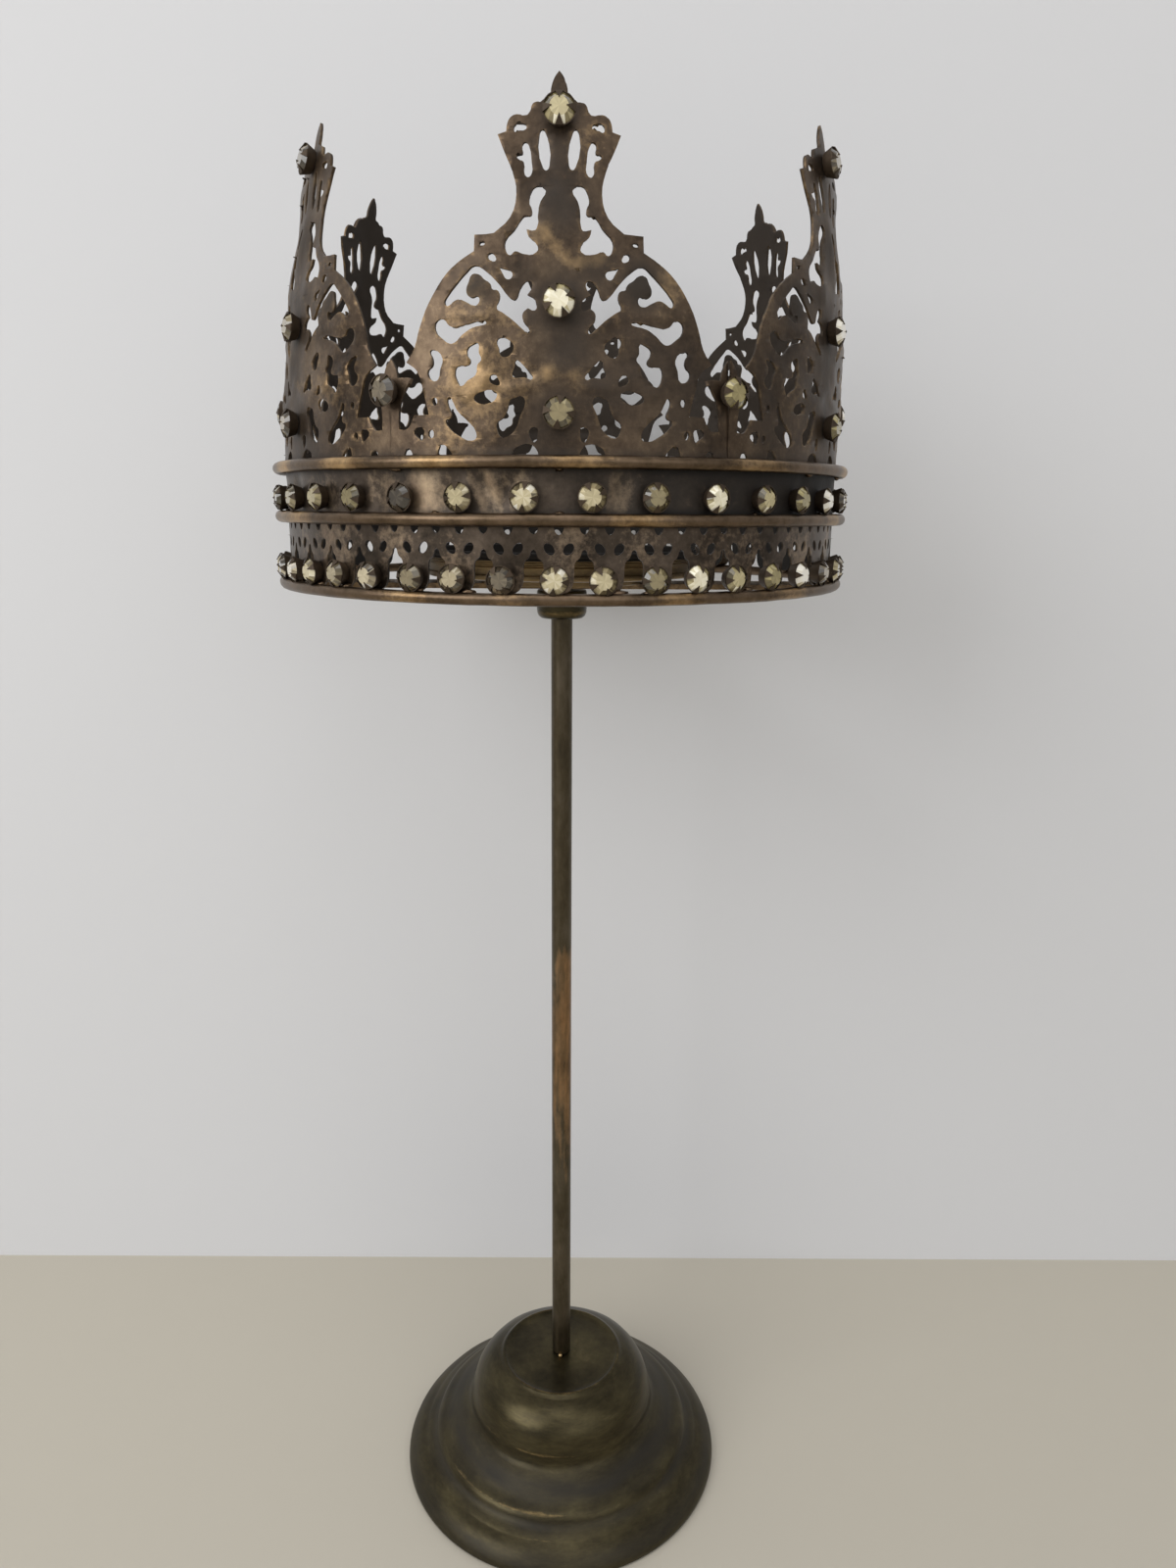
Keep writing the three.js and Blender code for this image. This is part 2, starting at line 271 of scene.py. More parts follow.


# Brass under a brown patina. Large clouds of patina come first, then fine specks. One attribute
# turns it to bare golden metal where hands and cloths have worn it and where highlights and light are
# painted, and another to a dull dark crust where it is tarnished and where shade is painted.
def patinaBrass(name, look):
    material, shader = newMaterial(name)
    place = addNode(material, "ShaderNodeTexCoord")
    stretch = addNode(material, "ShaderNodeMapping", values={"Scale": look["stretch"]},
                      links={"Vector": (place, "Object")})
    clouds, specks = [
        addNode(material, "ShaderNodeTexNoise",
                values={"Scale": 1 / (size * mm), "Detail": detail, "Roughness": rough},
                links={"Vector": (stretch, "Vector")})
        for size, detail, rough in ((look["cloudSize"], 4, 0.62), (look["speckSize"], 5, 0.7))]
    mottle = addNode(material, "ShaderNodeMath", {"operation": "MULTIPLY_ADD"}, {1: look["speckShare"]},
                     {0: (specks, "Fac"), 2: (clouds, "Fac")})
    patina = rampNode(material, look["patina"], (mottle, "Value"))
    rubBreak, rubFrom, rubTo = look["rubAndHighlight"]
    rubAndHighlight = addNode(material, "ShaderNodeAttribute", {"attribute_name": "rubAndHighlight"})
    bareLevel = addNode(material, "ShaderNodeMath", {"operation": "MULTIPLY_ADD"}, {1: rubBreak},
                   {0: (specks, "Fac"), 2: (rubAndHighlight, "Fac")})
    bareShare = addNode(material, "ShaderNodeMapRange", values={"From Min": rubFrom, "From Max": rubTo},
                        links={"Value": (bareLevel, "Value")})
    bare = rampNode(material, look["bare"], (clouds, "Fac"))
    surface = addNode(material, "ShaderNodeMix", {"data_type": "RGBA"},
                      links={"Factor": (bareShare, "Result"), 6: (patina, "Color"), 7: (bare, "Color")})
    tarnishAndShade = addNode(material, "ShaderNodeAttribute", {"attribute_name": "tarnishAndShade"})
    colour = addNode(material, "ShaderNodeMix", {"data_type": "RGBA"}, {7: hexColour(look["tarnishAndShade"])},
                     {"Factor": (tarnishAndShade, "Fac"), 6: (surface, "Result")})
    smoothest, roughest = look["rough"]
    rough = addNode(material, "ShaderNodeMapRange",
                    values={"From Min": 0.35, "From Max": 0.95, "To Min": smoothest, "To Max": roughest},
                    links={"Value": (mottle, "Value")})
    dull = addNode(material, "ShaderNodeMath", {"operation": "MULTIPLY_ADD"}, {1: tarnishAndShadeRough},
                   {0: (tarnishAndShade, "Fac"), 2: (rough, "Result")})
    grain = addNode(material, "ShaderNodeBump", values={"Strength": look["grain"], "Distance": 0.0002},
                    links={"Height": (specks, "Fac")})
    dents = addNode(material, "ShaderNodeBump", values={"Strength": look["dents"], "Distance": 0.001},
                    links={"Height": (clouds, "Fac"), "Normal": (grain, "Normal")})
    metal = addNode(material, "ShaderNodeMath", {"operation": "MULTIPLY_ADD"},
                    {1: -tarnishAndShadeMetal, 2: look["metallic"]}, {0: (tarnishAndShade, "Fac")})
    for key, output in (("Metallic", metal.outputs["Value"]), ("Base Color", colour.outputs["Result"]),
                        ("Roughness", dull.outputs["Value"]), ("Normal", dents.outputs["Normal"])):
        material.node_tree.links.new(output, shader.inputs[key])
    return material


# Pressed sheet brass, browned by age: satin, grey-brown with warmer clouds
sheetBrassLook = {
    "cloudSize": 16, "speckSize": 2.2, "speckShare": 0.45, "stretch": (1, 1, 1),
    "patina": [(0.45, "#2d2620"), (0.6, "#44382d"), (0.78, "#5c4d3e"), (0.95, "#766552")],
    "bare": [(0.35, "#8a7150"), (0.65, "#b59870")],
    "rubAndHighlight": (0.9, 0.6, 1.2), "rough": (0.28, 0.42),
    "grain": 0.3, "dents": 0.25, "tarnishAndShade": "#31281f", "metallic": 0.85,
}
# The bands' sheet is greyer outside, paler where bare or painted with highlights, and black inside: painted
# shade
bandBrassLook = {
    **sheetBrassLook,
    "patina": [(0.45, "#2e2822"), (0.62, "#453c33"), (0.78, "#584d43"), (0.95, "#6e6154")],
    "bare": [(0.35, "#97806a"), (0.65, "#cbb393")], "tarnishAndShade": "#16120f",
}
# Drawn brass wire, gold on its outermost line where it is rubbed and a highlight is painted, and brown in its
# hollows
wireBrassLook = {
    "cloudSize": 9, "speckSize": 1.6, "speckShare": 0.5, "stretch": (1, 1, 1),
    "patina": [(0.45, "#463a2e"), (0.65, "#5e4f3f"), (0.9, "#746250")],
    "bare": [(0.35, "#9c7d56"), (0.65, "#d2b080")],
    "rubAndHighlight": (0.55, 0.7, 1.2), "rough": (0.28, 0.4),
    "grain": 0.25, "dents": 0.12, "tarnishAndShade": "#241d16", "metallic": 1,
}
# Spun brass gone olive-black, with soft streaks that run round it
footBrassLook = {
    "cloudSize": 22, "speckSize": 3, "speckShare": 0.4, "stretch": (1, 1, 4),
    "patina": [(0.45, "#2e2a1f"), (0.65, "#3f3929"), (0.85, "#4f4833"), (1, "#645b42")],
    "bare": [(0.35, "#7c6844"), (0.65, "#a89064")],
    "rubAndHighlight": (0.7, 0.85, 1.35), "rough": (0.3, 0.36),
    "grain": 0.12, "dents": 0.08, "tarnishAndShade": "#25211a", "metallic": 0.92,
}
# Drawn brass rod, dark brown, worn coppery where it is held
rodBrassLook = {
    "cloudSize": 10, "speckSize": 2, "speckShare": 0.4, "stretch": (1, 1, 0.35),
    "patina": [(0.4, "#37322a"), (0.65, "#504839"), (0.95, "#696052")],
    "bare": [(0.35, "#8c6c4c"), (0.65, "#b08a62")],
    "rubAndHighlight": (0.6, 0.5, 1.0), "rough": (0.3, 0.42),
    "grain": 0.3, "dents": 0.15, "tarnishAndShade": "#231a15", "metallic": 0.95,
}
# Turned brass disc, yellower than the crown
discBrassLook = {
    "cloudSize": 20, "speckSize": 2, "speckShare": 0.4, "stretch": (1, 1, 5),
    "patina": [(0.4, "#4a3d2c"), (0.65, "#77654a"), (0.95, "#927d5c")],
    "bare": [(0.35, "#a1875f"), (0.65, "#c4a87c")],
    "rubAndHighlight": (0.6, 0.7, 1.3), "rough": (0.3, 0.42),
    "grain": 0.2, "dents": 0.1, "tarnishAndShade": "#1b1611", "metallic": 1,
}
sheetBrass = patinaBrass("agedSheetBrass", sheetBrassLook)
bandBrass = patinaBrass("bandBrassShadedInside", bandBrassLook)
wireBrass = patinaBrass("rubbedBrassWire", wireBrassLook)
footBrass = patinaBrass("darkSpunBrass", footBrassLook)
rodBrass = patinaBrass("brownDrawnBrass", rodBrassLook)
discBrass = patinaBrass("turnedBrass", discBrassLook)


# Foiled glass, facets painted from dark olive to nearly white as painted reflections: champagne, or yellower by
# "tint"
stoneLook = {
    "facets": [(0, "#3b342a"), (0.25, "#695f4e"), (0.5, "#978a70"), (0.75, "#cdc1a3"), (1, "#fffcf4")],
    "yellowFacets": [(0, "#3b3420"), (0.25, "#6e633f"), (0.5, "#9c9060"), (0.75, "#cfc28c"), (1, "#fff8d8")],
    "rough": 0.05,
}


def foiledGlass():
    material, shader = newMaterial("foiledChampagneGlass")
    facet = addNode(material, "ShaderNodeAttribute", {"attribute_name": "facet"})
    tint = addNode(material, "ShaderNodeAttribute", {"attribute_name": "tint"})
    clear = rampNode(material, stoneLook["facets"], (facet, "Fac"))
    yellow = rampNode(material, stoneLook["yellowFacets"], (facet, "Fac"))
    colour = addNode(material, "ShaderNodeMix", {"data_type": "RGBA"},
                     links={"Factor": (tint, "Fac"), 6: (clear, "Color"), 7: (yellow, "Color")})
    material.node_tree.links.new(colour.outputs["Result"], shader.inputs["Base Color"])
    shader.inputs["Roughness"].default_value = stoneLook["rough"]
    shader.inputs["IOR"].default_value = 1.52
    shader.inputs["Coat Weight"].default_value = 1
    shader.inputs["Coat Roughness"].default_value = 0.02
    return material


stoneGlass = foiledGlass()


def finishPiece(piece, material, slot, *nodes):
    piece.data.materials.clear()
    piece.data.materials.append(material)
    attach(piece, "root")
    if nodes:
        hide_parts(*nodes)
    print("made", piece.name, len(piece.data.polygons), "faces", flush=True)


# The gallery: one lobe with half a fleuron on each side, drawn flat and then bent round the crown.
# x runs sideways from the lobe's middle and y up from the top wire, both in the pattern's units.
halfSector, patternTall, fleuronTall = 50.8, 99.7, 28.3
galleryEdge = [
    (0, 99.7, 1), (1.3, 98.2), (2.5, 95), (2.7, 93.1), (4.4, 92.5), (5.5, 91.7, 1), (6.6, 91.7), (7.8, 91.2),
    (8.6, 89.3, 1), (9.5, 88.4), (12.6, 88.7), (14.4, 88), (15.3, 86.5), (15.6, 84.5, 1), (18.1, 83.8, 1),
    (16.3, 80), (13.4, 74.2), (12.2, 68.6), (13.9, 62.8), (18.5, 59, 1), (24.2, 58.8, 1), (24.2, 54.6, 1),
    (29, 51.9), (33.6, 48.1), (37.8, 42.2), (40.5, 36), (42.2, 30.6), (45.1, 26.8, 1), (41.3, 24.2),
    (39.5, 19.5), (37.6, 12.7, 1), (42.5, 12.7, 1), (43.4, 10.8), (45, 9), (47.7, 9, 1), (47.7, 13),
    (47.2, 16), (45.8, 19), (43.2, 22.6, 1), (45.6, 22.9), (48.2, 22.8, 1), (48.9, 25.5), (50.8, 28.3, 1),
    (50.8, 0.15, 1),
]
galleryHoles = {
    "headInnerSlot": [(5.8, 83.6), (4.8, 84.8), (3.9, 83.8), (2.8, 75.6), (3.7, 74.5), (4.7, 75.3)],
    "headOuterSlot": [(10.8, 80.9), (9.8, 81.7), (8.7, 80.5), (7.9, 76.5), (7.8, 73.9), (8.9, 72.8),
        (10, 73.8), (10.2, 76.6), (11.8, 77.4), (12.3, 78.3), (10.6, 78.8)],
    "headBean": [(13.4, 85.2), (12.8, 84.2), (11.6, 84.6), (9.7, 84.9), (9.6, 85.7), (10.5, 86.3),
        (12.8, 86.2)],
    "neckWindow": [(6.9, 70.4), (4.7, 70.4), (3.8, 69.3), (5.2, 66.8), (5.9, 64.5), (6.2, 60), (6.7, 59.4),
        (9.1, 59.7, 1), (8.6, 58), (6.1, 55.6), (6.2, 53.9), (10, 53.5), (12.3, 54.2), (13.7, 53.2),
        (15, 54.5), (15.1, 57), (12.6, 59.6), (10.5, 62.5), (9.7, 63.1), (7.9, 63.3), (7.7, 64.7),
        (8.5, 66.5), (7.8, 69.3)],
    "earHole": [(22.7, 56.4), (21.8, 56.9), (21, 56.4), (21.8, 55.9)],
    "upperTear": [(20.1, 53.2), (19.1, 54), (17.9, 53), (17.7, 52), (18.7, 51.8)],
    "lowerTear": [(16.7, 50.2, 1), (14.9, 49.7), (13.1, 48.9), (13.2, 47.6), (14.6, 47.2), (15.6, 48.4)],
    "shoulderWindow": [
        (23.9, 50.9), (20.5, 49.3), (16.8, 46), (14.2, 43), (12.6, 42), (11.9, 42.2), (10.8, 44.7), (8.2, 46.8),
        (7.4, 45.5), (8.8, 43.2, 1), (6.6, 41.9), (6.1, 40.3), (6.7, 39.2), (8.6, 39.8, 1), (10, 38.5),
        (9.8, 36.5), (8, 34.2), (8.3, 33.3), (10, 34.3), (12.6, 36.6), (15.8, 38.8), (17.3, 39.8), (16.5, 42.5),
        (17, 44.3), (18.8, 44.9), (19.2, 46.1), (21, 47.3), (22.4, 48.5), (24.5, 48.6), (25.5, 46.6),
        (26.2, 44.8), (25.6, 43.2), (24.2, 42.8), (22.6, 43), (22.5, 41.2), (23.9, 40.7), (26.2, 41.7),
        (28.7, 42.5), (30.5, 41.7), (32, 40.9), (33, 41.9), (32, 43.7), (29.4, 46.4), (26.2, 49.3)],
    "hookedSlit": [
        (35.2, 37.3), (32.9, 37.4), (31.3, 35.8), (28.9, 35.5), (25.2, 36.1), (21.5, 36.7), (20.2, 36.2),
        (21, 35.7), (24.2, 35.1), (27.3, 33.4), (29.7, 31.4), (31, 31.2), (33.6, 32.6), (35.8, 34.9)],
    "roundHole": [(17.3, 31.5), (16.4, 32.4), (13.7, 31.6), (12.6, 30.3), (13, 28.5), (15, 27.3), (16.4, 28),
        (16.7, 29.5)],
    "cornerHole": [(25.8, 29.5), (23.9, 30.9), (22.7, 31.1), (22.4, 28.6), (21.7, 26.8), (22.8, 25.5),
        (23.2, 23), (25.7, 21.5), (27.5, 20), (28.8, 21.4), (29.3, 24), (28.6, 25.1), (25.5, 25.4),
        (24.8, 26.4), (25.7, 28)],
    "sideHole": [(37.4, 29.3), (36.4, 29.8), (33.2, 27.3), (34, 24.5), (34.5, 22.1), (35.5, 21.5),
        (37.8, 22.9), (37.9, 24.4), (36.6, 25.6), (36.6, 27.6)],
    "upperOval": [(36.5, 16.2), (35.7, 17.3), (34.9, 16.2), (35.7, 15.1)],
    "lowerOval": [(37.9, 7.6), (37, 8.8), (36.1, 7.6), (37, 6.4)],
    "longLeaf": [(31.8, 16.6), (31.1, 17.3), (30.3, 16.3), (28.9, 13.7), (25.5, 10.6), (23.5, 8.3), (23.4, 6.2),
        (25.4, 5.7), (28.6, 7), (31.2, 8.9), (32.4, 11.1), (31, 11.7), (30.6, 12.7), (31.5, 14.7)],
    "lowLeaf": [(10, 17.1), (9.3, 15.6), (10.6, 12.3), (11.8, 9), (13.9, 6.9), (16, 6.5), (17.2, 8.2),
        (17.3, 10.2), (15.5, 11.6), (14.3, 13.8), (13.5, 16.3), (12.3, 16.8)],
    "pairHole": [(23.9, 16.8), (21.8, 18.4), (17.4, 18.2), (17.6, 16.6), (19.4, 15.5), (22.9, 15.6)],
    "smallHole": [(19.4, 21.5), (18.2, 23), (16.8, 21.6), (16.5, 20.2), (17.9, 20.2)],
    "crescent": [(12.9, 22.4), (12.3, 24.8), (11.8, 26.6), (10.1, 25.5), (8.4, 23.7), (7.2, 21.7), (9.5, 22.1)],
    "smallLeaf": [(8.1, 8.6), (6.2, 9.1), (5.9, 7.5), (6.8, 5.2), (8, 6.5)],
    "outerNotch": [(29.9, 1, 1), (35.2, 1, 1), (34.9, 3), (33.8, 4.7), (31.5, 3.4)],
    "innerNotch": [(5.5, 1, 1), (13.1, 1, 1), (12.4, 3.4), (11, 4.3), (8.4, 4.8), (6.3, 3.4)],
    "halfRound": [(43.1, 1, 1), (46.1, 1, 1), (45.7, 2.9), (44.6, 3.5), (43.5, 2.9)],
    "wallTriangle": [(42.6, 8.5), (39.4, 9), (39.4, 7), (40, 5.8), (40.9, 6.3)],
}
# The embossed stems and leaves, and the front lobe's bare place that runs across its neck
galleryRibs = [
    [(17.9, 38.5), (11.6, 35.8), (7.4, 33), (6.3, 29), (7.9, 25)],
    [(13.7, 19.5), (10, 19.6), (6.8, 20), (3.4, 23), (0, 26)],
    [(21, 22), (25.2, 17), (29.4, 21), (31.5, 27)],
    [(31.5, 38.5), (26.2, 38.7), (21, 38.7), (18.4, 40.5)],
    [(22.6, 45.5), (24.2, 45)],
    [(5.2, 50), (5.7, 57), (3.4, 66), (0, 72)],
]
galleryStreak = [(-4.5, 60), (-1, 55), (3, 51), (7, 51.5), (12, 52.5)]
# Places on a lobe as x, y, reach and strength: where it is rubbed bare, with painted light on the
# front lobe's left half where the light falls, and where it is painted nearly black: painted shade
# on the bent leaf tips and the half away from the light, and darker places down the middle
galleryBareAndLit = [
    (-22, 20, 10, 0.5), (-31, 37, 7, 0.3), (31, 47, 5, 0.35), (-3.5, 23.5, 2, 0.45), (5, 22.5, 1.6, 0.4),
    (-26, 44, 5, 0.25), (-14, 36, 5, 0.2), (-30, 8, 8, 0.25), (12, 84, 7, 0.1), (-10, 60, 6, 0.1),
]
galleryShade = [
    (23.5, 46.2, 6, 1.3), (-23.5, 46, 5, 0.8), (0, 66, 9, 0.7), (0, 79, 8, 0.6), (1, 40, 10, 0.8),
    (3, 30, 9, 0.7), (0, 13, 9, 0.6), (12, 20, 11, 0.5), (10, 50, 7, 0.6), (-9, 47, 6, 0.4),
    (-8.6, 38, 4, 0.6), (28, 24, 18, 0.45), (0, 89, 6, 0.5), (35, 11, 10, 0.5), (-6, 6, 10, 0.4),
]
lobeShift = [-0.5, 4.2, -0.2, 0.8, -3, -2.2]  # how far out of line each lobe's tip is bent, in mm
galleryLook = {
    "thickness": 0.85, "gridStep": 2.5, "edgeRound": 0.16, "embossHeight": 0.4, "embossWidth": 1.8,
    "dentDepth": 0.6, "streakWidth": 1.8, "otherLobesBare": 0.4,
}


def galleryRelief(x, y):
    rib = min(distanceTo(abs(x), y, line) for line in galleryRibs)
    urn = bump(abs(x), 4) * clamp((y - 54) / 5) * clamp((71 - y) / 5)
    bulge = bump(math.hypot(abs(x) - 20, y - 22), 4) + bump(math.hypot(abs(x) - 13, y - 11), 3.5) * 0.5
    return bump(rib, galleryLook["embossWidth"]) + 0.35 * urn + 0.5 * bulge


# How strongly the nearest of some places is felt at a point
def spots(x, y, places):
    return max(strength * bump(math.hypot(x - px, y - py), reach) for px, py, reach, strength in places)


# Bends the flat lobe round the crown. Each lobe is dented, worn and bent a little in its own way.
def bendLobe(lobe, index):
    rubAndHighlight = newLayer(lobe, "rubAndHighlight")
    tarnishAndShade = newLayer(lobe, "tarnishAndShade")
    side = 1 if index % 2 == 0 else -1
    edges = lobe.data.attributes["edge"].data
    for vertex, bareAmount, dark, edge in zip(lobe.data.vertices, rubAndHighlight.data, tarnishAndShade.data, edges):
        x, y = vertex.co.x, vertex.co.y
        relief = galleryRelief(x, y)
        dent = noiseAt(x / 15, y / 15, index * 7.3)
        dent += 0.4 * noiseAt(x / 6, y / 6, index * 3.1)
        loose = clamp((y - 4) / 30)
        share = max(0, y) / lobeHeight
        radius = sheetRadius - sheetLean * share ** 2 + lobeShift[index] * share
        emboss = galleryLook["embossHeight"] * (relief - 0.5) * min(1, y / 4)
        radius += emboss + galleryLook["dentDepth"] * dent * loose
        angle = x / halfSector * math.pi / 6
        height = y * lobeHeight / patternTall
        vertex.co = onRing(angle, radius, topWireZ + height)
        streak = bump(distanceTo(x, y, galleryStreak), galleryLook["streakWidth"])
        # Worn bare places, with painted light on the half of the front lobe that the light falls on
        bare = spots(x * side, y, galleryBareAndLit) * (1 if index == 0 else galleryLook["otherLobesBare"])
        bareAmount.value = 0.1 * relief + 0.2 * dent + 0.22 * edge.value + 0.5 * streak * (index == 0) + bare
        # Painted shade at the dark places, and darker along the lobe's foot
        patch = 0.5 + 0.5 * noiseAt(x / 9, y / 9, index * 5.5)
        seam = 0.8 * bump(max(0, y - 1), 2.2)
        dark.value = min(1, spots(x * side, y, galleryShade) * (0.9 + 0.5 * patch) + seam * patch * 1.4)
    lobe.data.transform(Matrix.Rotation(index * math.pi / 3, 4, "Z"))


def makeGallery():
    edge = galleryEdge + mirrored(galleryEdge[1:])
    holes = [hole for points in galleryHoles.values() for hole in (points, mirrored(points))]
    corners = ((-halfSector, 0), (halfSector, 99))
    flat = flatSheet("gallerySheet", [edge, *holes], 3, galleryLook["gridStep"], corners)
    print("flat lobe", len(flat.data.polygons), flush=True)
    lobes = [placedCopy(flat, Matrix.Identity(4)) for index in range(6)]
    for index, lobe in enumerate(lobes):
        bendLobe(lobe, index)
    bpy.data.objects.remove(flat)
    gallery = joinAll(lobes, "gallerySheet")
    weld(gallery, 0.00015)
    addModifier(gallery, "SOLIDIFY", thickness=galleryLook["thickness"] * mm, offset=-1)
    addModifier(gallery, "BEVEL", width=galleryLook["edgeRound"] * mm, segments=1, limit_method="ANGLE",
                angle_limit=math.radians(55))
    smooth(gallery, 40)
    markInside(gallery)
    finishPiece(gallery, sheetBrass, "crown_brass", "gallery")


makeGallery()


# The lace band: one lappet, drawn flat in mm with x from its middle and y up from the bottom wire
lappetCount = 42
lappetPitch = 2 * math.pi * sheetRadius / lappetCount
laceLook = {"gridStep": 2.4, "thickness": 0.8, "waveDepth": 0.5, "seed": 4.4}
lappetEdge = [
    (0, 0.9), (2.4, 1.5), (3.8, 3.2), (4.3, 5.6), (4.35, 8.6), (4.75, 10.1), (5.7, 10.9), (6.25, 12),
    (6.5, 12.9), (lappetPitch / 2, 13.4, 1), (lappetPitch / 2, 17.5, 1), (6.2, 18.2), (5.6, 20.6, 1),
    (5.6, 21.25, 1),
]
lappetHoles = [[(0, 17.4), (1.1, 18.3), (1.6, 20.7, 1), (-1.6, 20.7, 1), (-1.1, 18.3)]]
lappetOval = {"across": 2.75, "up": 13.5, "long": 1.85, "wide": 1.3, "tilt": 52, "points": 10}


def ovalHole(side):
    oval, points = lappetOval, []
    for i in range(oval["points"]):
        turn = 2 * math.pi * i / oval["points"]
        tilt = math.radians(oval["tilt"])
        along, over = oval["long"] * math.cos(turn), oval["wide"] * math.sin(turn)
        points.append((side * (oval["across"] + along * math.cos(tilt) - over * math.sin(tilt)),
                       oval["up"] + along * math.sin(tilt) + over * math.cos(tilt)))
    return points


# Bends the flat row of lappets round the crown, with shallow waves
def bendLace(sheet):
    rubAndHighlight = newLayer(sheet, "rubAndHighlight")
    for vertex, bareAmount in zip(sheet.data.vertices, rubAndHighlight.data):
        x, y = vertex.co.x, vertex.co.y
        angle = x / sheetRadius
        around = Vector((6 * math.cos(angle), 6 * math.sin(angle), laceLook["seed"]))
        dent = noiseAt(around.x * 1.1, around.y * 1.1, laceLook["seed"] + y / 30)
        radius = sheetRadius - laceLook["waveDepth"] * (0.5 + 0.5 * dent)
        vertex.co = onRing(angle, radius, bottomWireZ + y)
        bareAmount.value = 0.1 + 0.5 * dent


def makeLaceBand():
    edge = lappetEdge + mirrored(lappetEdge[1:])
    corners = ((-lappetPitch / 2, 0.8), (lappetPitch / 2, 21.2))
    holes = [*lappetHoles, ovalHole(1), ovalHole(-1)]
    flat = flatSheet("laceSheet", [edge, *holes], 3, laceLook["gridStep"], corners)
    lappets = [placedCopy(flat, Matrix.Translation((i * lappetPitch, 0, 0))) for i in range(lappetCount)]
    bpy.data.objects.remove(flat)
    lace = joinAll(lappets, "laceSheet")
    bendLace(lace)
    weld(lace, 0.0001)
    addModifier(lace, "SOLIDIFY", thickness=laceLook["thickness"] * mm, offset=-1)
    smooth(lace, 40)
    markInside(lace)
    finishPiece(lace, bandBrass, "crown_brass", "lace_band")


makeLaceBand()


# The plain band, pinched on to the ring: shallow waves all round, and sharper creases as angle, reach
# in degrees, slant and depth in mm. The shade is painted shade on its right, away from the light.
plainBandLook = {
    "segments": 360, "rows": 9, "low": 0.15, "high": 15.35, "waveDepth": 0.5, "thickness": 0.8,
    "shadeAngle": 48, "shadeReach": 44, "shadeStrength": 0.9,
}
plainCreases = [
    (-18.5, 1.2, 10, 0.8), (-12.5, 1.4, -14, 1.3), (-8.5, 1.1, 12, 1.1), (-6.2, 0.9, -6, 0.8),
    (10.4, 1.3, 8, 0.9), (16, 1.5, -6, 0.6), (-33, 2, 8, 0.7), (30, 2, 6, 0.6), (52, 2, -8, 0.9),
    (-61, 2, 8, 0.8), (84, 2, 5, 0.8), (113, 2, -8, 0.9), (150, 2, 8, 1), (171, 1.5, -8, 0.7),
    (205, 2, 9, 1), (238, 2, -6, 0.8), (262, 2, 8, 0.7),
]
# Bare places as angle, reach in degrees and strength: worn metal, with painted highlights at the front creases
# and painted light on the left
plainBareAndHighlights = [
    (-31, 4, 0.35), (-47, 6, 0.45), (-24, 3.6, 0.85), (-12, 1.6, 0.35), (-6, 1, 0.25), (10, 1.4, 0.3),
    (38, 3, 0.3), (-52, 4, 0.3), (75, 4, 0.3), (140, 5, 0.4), (190, 4, 0.35), (230, 5, 0.4), (290, 4, 0.3),
]


# How far an angle in degrees is from another one, the short way round
def turnBetween(angle, other):
    return (angle - other + 180) % 360 - 180


def makePlainBand():
    look = plainBandLook
    tall = look["high"] - look["low"]
    rows = [look["low"] + tall * i / look["rows"] for i in range(look["rows"] + 1)]
    band = turnedShape("plainSheet", [(sheetRadius, middleWireZ + row) for row in rows], look["segments"])
    weld(band, outward=True)
    rubAndHighlight = newLayer(band, "rubAndHighlight")
    tarnishAndShade = newLayer(band, "tarnishAndShade")
    for vertex, bareAmount, dark in zip(band.data.vertices, rubAndHighlight.data, tarnishAndShade.data):
        angle = math.atan2(vertex.co.x, -vertex.co.y)
        degrees = math.degrees(angle)
        up = (vertex.co.z / mm - middleWireZ - look["low"]) / tall
        wave = noiseAt(math.cos(angle) * 5, math.sin(angle) * 5, up * 0.8)
        crease, lip = 0, 0
        for place, reach, slant, depth in plainCreases:
            off = (degrees - place - slant * (up - 0.5) * 0.25 + 180) % 360 - 180
            crease += depth * bump(off, reach)
            lip = max(lip, depth * bump(abs(off) - reach * 1.1, reach * 0.6))
        belly = max(0, math.sin(math.pi * up))
        radius = sheetRadius - belly * (look["waveDepth"] * (0.6 + 0.8 * wave) + crease)
        vertex.co.x, vertex.co.y = radius * math.sin(angle) * mm, -radius * math.cos(angle) * mm
        # Bare places and the creases' lips: worn metal, with painted highlights and painted light
        bare = max(share * bump(turnBetween(degrees, place), reach) for place, reach, share in plainBareAndHighlights)
        bareAmount.value = 0.3 * wave - 0.05 + (0.35 * lip + bare) * belly ** 0.5
        edges = bump(up, 0.12) + bump(1 - up, 0.14)
        soot = noiseAt(math.cos(angle) * 4, math.sin(angle) * 4, 8)
        # Painted shade on the band's right, away from the light, with random clouds of soot
        shade = look["shadeStrength"] * bump(degrees - look["shadeAngle"], look["shadeReach"])
        shade += 0.6 * max(0, soot)
        dark.value = min(1, edges * (0.6 + 0.8 * abs(wave)) + shade)
    addModifier(band, "SOLIDIFY", thickness=look["thickness"] * mm, offset=-1)
    smooth(band, 60)
    markInside(band)
    finishPiece(band, bandBrass, "crown_brass", "plain_band")


makePlainBand()


# A stone's sizes, as shares of its radius and, for the last five, of its depth
stoneCut = {
    "cupFoot": 0.72, "cupRim": 0.98, "lip": 0.06, "clawPoint": 0.42, "clawLength": 0.52, "clawWide": 0.28,
    "clawThick": 0.08, "girdle": 0.93, "table": 0.55, "cupHigh": 0.66, "seatDeep": 0.14, "clawHigh": 0.99,
    "gemMiddle": 0.74, "gemHigh": 0.36,
}


